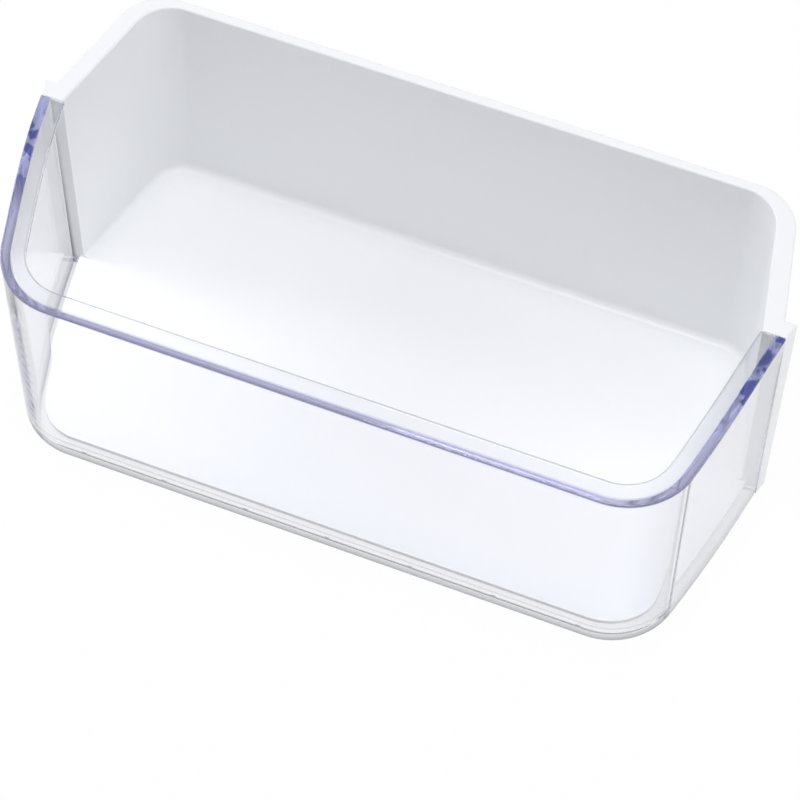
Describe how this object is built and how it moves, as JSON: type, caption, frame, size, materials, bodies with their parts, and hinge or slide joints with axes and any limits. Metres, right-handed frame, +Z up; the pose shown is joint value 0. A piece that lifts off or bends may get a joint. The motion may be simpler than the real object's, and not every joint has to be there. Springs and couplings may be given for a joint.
{
  "type": "refrigerator door bin",
  "caption": "Open refrigerator door bin with a white rear shell, flared sides and turned-out rim, and a clear violet-tinted bowed front with an inward lip.",
  "frame": {"origin": "on the resting plane, under the middle of the bin", "axes": "+X to the right along the width, -Y towards the clear front, +Y towards the door, +Z up"},
  "size_m": [0.385, 0.1889, 0.14],
  "materials": {
    "white_plastic": "satin white moulded polystyrene",
    "clear_plastic": "polished clear moulded polystyrene with a faint violet tint"
  },
  "bodies": {
    "root": {"rear_shell": "white_plastic", "clear_front": "clear_plastic"}
  },
  "joints": []
}
